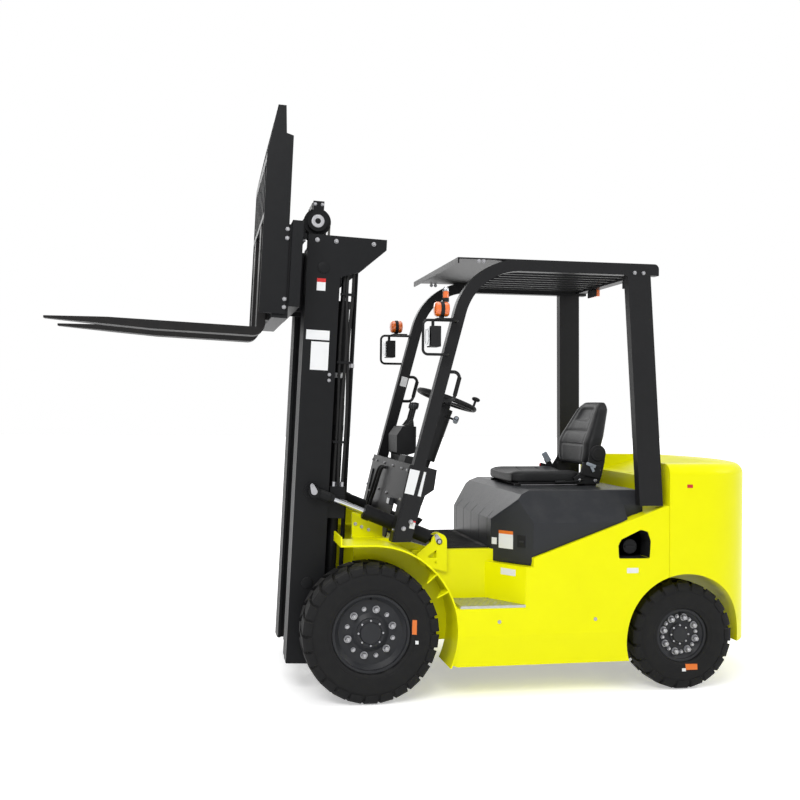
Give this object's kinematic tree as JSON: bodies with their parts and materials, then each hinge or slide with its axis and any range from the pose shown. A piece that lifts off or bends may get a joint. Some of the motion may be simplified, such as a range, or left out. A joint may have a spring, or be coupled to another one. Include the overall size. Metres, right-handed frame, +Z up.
{
  "type": "counterbalanced forklift truck",
  "caption": "Engine powered counterbalanced forklift truck with a three stage mast, side shifting forks, overhead guard, driver seat and rear wheel steering.",
  "frame": {"origin": "middle of the overall length and width, on the ground", "axes": "+X to the rear, along the truck; +Y to the driver's right; +Z up"},
  "size_m": [3.8618, 1.252, 3.0237],
  "materials": {
    "body_yellow": "gloss",
    "frame_black": "satin",
    "rim_grey": "satin",
    "bare_steel": "zinc plated",
    "chain_steel": "oiled",
    "chrome_rod": "polished",
    "tyre_rubber": "matt",
    "hood_plastic": "semi gloss",
    "floor_rubber": "ribbed",
    "seat_vinyl": "satin",
    "black_plastic": "matt",
    "lamp_lens": "clear",
    "cast_black": "rough paint"
  },
  "bodies": {
    "chassis": {"counterweight": "body_yellow", "dash_panel": "frame_black", "drive_axle": "cast_black", "engine": "cast_black", "filler_cap": "black_plastic", "floor_mat": "floor_rubber", "frame": "body_yellow", "guard_bars": "frame_black", "lamp_brackets": "frame_black", "lever_console": "black_plastic", "marker_lamp": "lamp_lens", "overhead_guard": "frame_black", "pedals": "black_plastic", "radiator_grille": "frame_black", "rear_lamps": "lamp_lens", "steer_axle": "cast_black", "steering_column": "black_plastic", "step_plates": "bare_steel", "turn_signals": "lamp_lens", "work_lamps": "lamp_lens"},
    "front_wheel_left": {"front_tyre_left": "tyre_rubber", "front_rim_left": "rim_grey"},
    "front_wheel_right": {"front_tyre_right": "tyre_rubber", "front_rim_right": "rim_grey"},
    "knuckle_left": {"knuckle_left": "cast_black"},
    "knuckle_right": {"knuckle_right": "cast_black"},
    "rear_wheel_left": {"rear_tyre_left": "tyre_rubber", "rear_rim_left": "rim_grey"},
    "rear_wheel_right": {"rear_tyre_right": "tyre_rubber", "rear_rim_right": "rim_grey"},
    "steering_wheel": {"steering_wheel": "black_plastic"},
    "hood": {"hood": "hood_plastic", "seat_frame": "frame_black", "seat_cushion": "seat_vinyl", "seat_back": "seat_vinyl"},
    "mast_outer": {"outer_mast": "frame_black", "lift_cylinders": "frame_black", "mast_pipes": "frame_black"},
    "mast_middle": {"middle_mast": "frame_black", "lift_rods": "chrome_rod", "lift_chains": "chain_steel"},
    "mast_inner": {"inner_mast": "frame_black", "free_lift_cylinder": "frame_black", "free_lift_chains": "chain_steel"},
    "crosshead": {"crosshead": "frame_black"},
    "carriage": {"carriage": "frame_black"},
    "side_shifter": {"fork_carriage": "frame_black", "load_backrest": "frame_black"},
    "fork_left": {"fork_left": "frame_black"},
    "fork_right": {"fork_right": "frame_black"},
    "tilt_barrel_left": {"tilt_barrel_left": "frame_black"},
    "tilt_barrel_right": {"tilt_barrel_right": "frame_black"},
    "tilt_rod_left": {"tilt_rod_left": "chrome_rod"},
    "tilt_rod_right": {"tilt_rod_right": "chrome_rod"}
  },
  "joints": [
    {"name": "front_wheel_left_spin", "type": "hinge", "parent": "chassis", "child": "front_wheel_left", "pos_m": [-0.28414, -0.5, 0.352], "axis": [0, 1, 0], "continuous": true},
    {"name": "steer_left", "type": "hinge", "parent": "chassis", "child": "knuckle_left", "pos_m": [1.41086, -0.415, 0.286], "axis": [0, 0, 1], "range_deg": [-65, 65]},
    {"name": "rear_wheel_left_spin", "type": "hinge", "parent": "knuckle_left", "child": "rear_wheel_left", "pos_m": [1.41086, -0.485, 0.286], "axis": [0, 1, 0], "continuous": true},
    {"name": "front_wheel_right_spin", "type": "hinge", "parent": "chassis", "child": "front_wheel_right", "pos_m": [-0.28414, 0.5, 0.352], "axis": [0, 1, 0], "continuous": true},
    {"name": "steer_right", "type": "hinge", "parent": "chassis", "child": "knuckle_right", "pos_m": [1.41086, 0.415, 0.286], "axis": [0, 0, 1], "range_deg": [-65, 65]},
    {"name": "rear_wheel_right_spin", "type": "hinge", "parent": "knuckle_right", "child": "rear_wheel_right", "pos_m": [1.41086, 0.485, 0.286], "axis": [0, 1, 0], "continuous": true},
    {"name": "steering_wheel_turn", "type": "hinge", "parent": "chassis", "child": "steering_wheel", "pos_m": [0.24586, 0, 1.537], "axis": [0.342, 0, 0.9397], "continuous": true},
    {"name": "hood_open", "type": "hinge", "parent": "chassis", "child": "hood", "pos_m": [1.18586, 0, 1.05], "axis": [0, 1, 0], "range_deg": [0, 60]},
    {"name": "mast_tilt", "type": "hinge", "parent": "chassis", "child": "mast_outer", "pos_m": [-0.28414, 0, 0.352], "axis": [0, 1, 0], "range_deg": [-8.5, 3.5]},
    {"name": "mast_lift", "type": "slide", "parent": "mast_outer", "child": "mast_middle", "axis": [0.0436, 0, 0.999], "range_m": [0, 1.4]},
    {"name": "inner_lift", "type": "slide", "parent": "mast_middle", "child": "mast_inner", "axis": [0.0436, 0, 0.999], "range_m": [0, 1.4]},
    {"name": "carriage_lift", "type": "slide", "parent": "mast_inner", "child": "carriage", "axis": [0.0436, 0, 0.999], "range_m": [-1.79, 0]},
    {"name": "crosshead_lift", "type": "slide", "parent": "mast_inner", "child": "crosshead", "axis": [0.0436, 0, 0.999], "range_m": [-0.895, 0], "deforming": ["free_lift_chains"]},
    {"name": "side_shift", "type": "slide", "parent": "carriage", "child": "side_shifter", "axis": [0, 1, 0], "range_m": [-0.1, 0.1]},
    {"name": "fork_left_spread", "type": "slide", "parent": "side_shifter", "child": "fork_left", "axis": [0, -1, 0], "range_m": [-0.16, 0.145]},
    {"name": "fork_right_spread", "type": "slide", "parent": "side_shifter", "child": "fork_right", "axis": [0, 1, 0], "range_m": [-0.16, 0.145]},
    {"name": "tilt_barrel_left_swing", "type": "hinge", "parent": "chassis", "child": "tilt_barrel_left", "pos_m": [0.10386, -0.382, 0.788], "axis": [0, 1, 0], "range_deg": [-6.02, 2.48]},
    {"name": "tilt_rod_left_slide", "type": "slide", "parent": "tilt_barrel_left", "child": "tilt_rod_left", "axis": [-0.9284, 0, 0.3717], "range_m": [-0.03316, 0.08038]},
    {"name": "tilt_barrel_right_swing", "type": "hinge", "parent": "chassis", "child": "tilt_barrel_right", "pos_m": [0.10386, 0.382, 0.788], "axis": [0, 1, 0], "range_deg": [-6.02, 2.48]},
    {"name": "tilt_rod_right_slide", "type": "slide", "parent": "tilt_barrel_right", "child": "tilt_rod_right", "axis": [-0.9284, 0, 0.3717], "range_m": [-0.03316, 0.08038]}
  ],
  "couplings": [
    {"joint": "steer_right", "follows": "steer_left", "ratio": 1},
    {"joint": "inner_lift", "follows": "mast_lift", "ratio": 1},
    {"joint": "crosshead_lift", "follows": "carriage_lift", "ratio": 0.5},
    {"joint": "tilt_barrel_left_swing", "follows": "mast_tilt", "ratio": 0.707},
    {"joint": "tilt_rod_left_slide", "follows": "mast_tilt", "m_per_rad": -0.54117},
    {"joint": "tilt_barrel_right_swing", "follows": "mast_tilt", "ratio": 0.707},
    {"joint": "tilt_rod_right_slide", "follows": "mast_tilt", "m_per_rad": -0.54117}
  ]
}
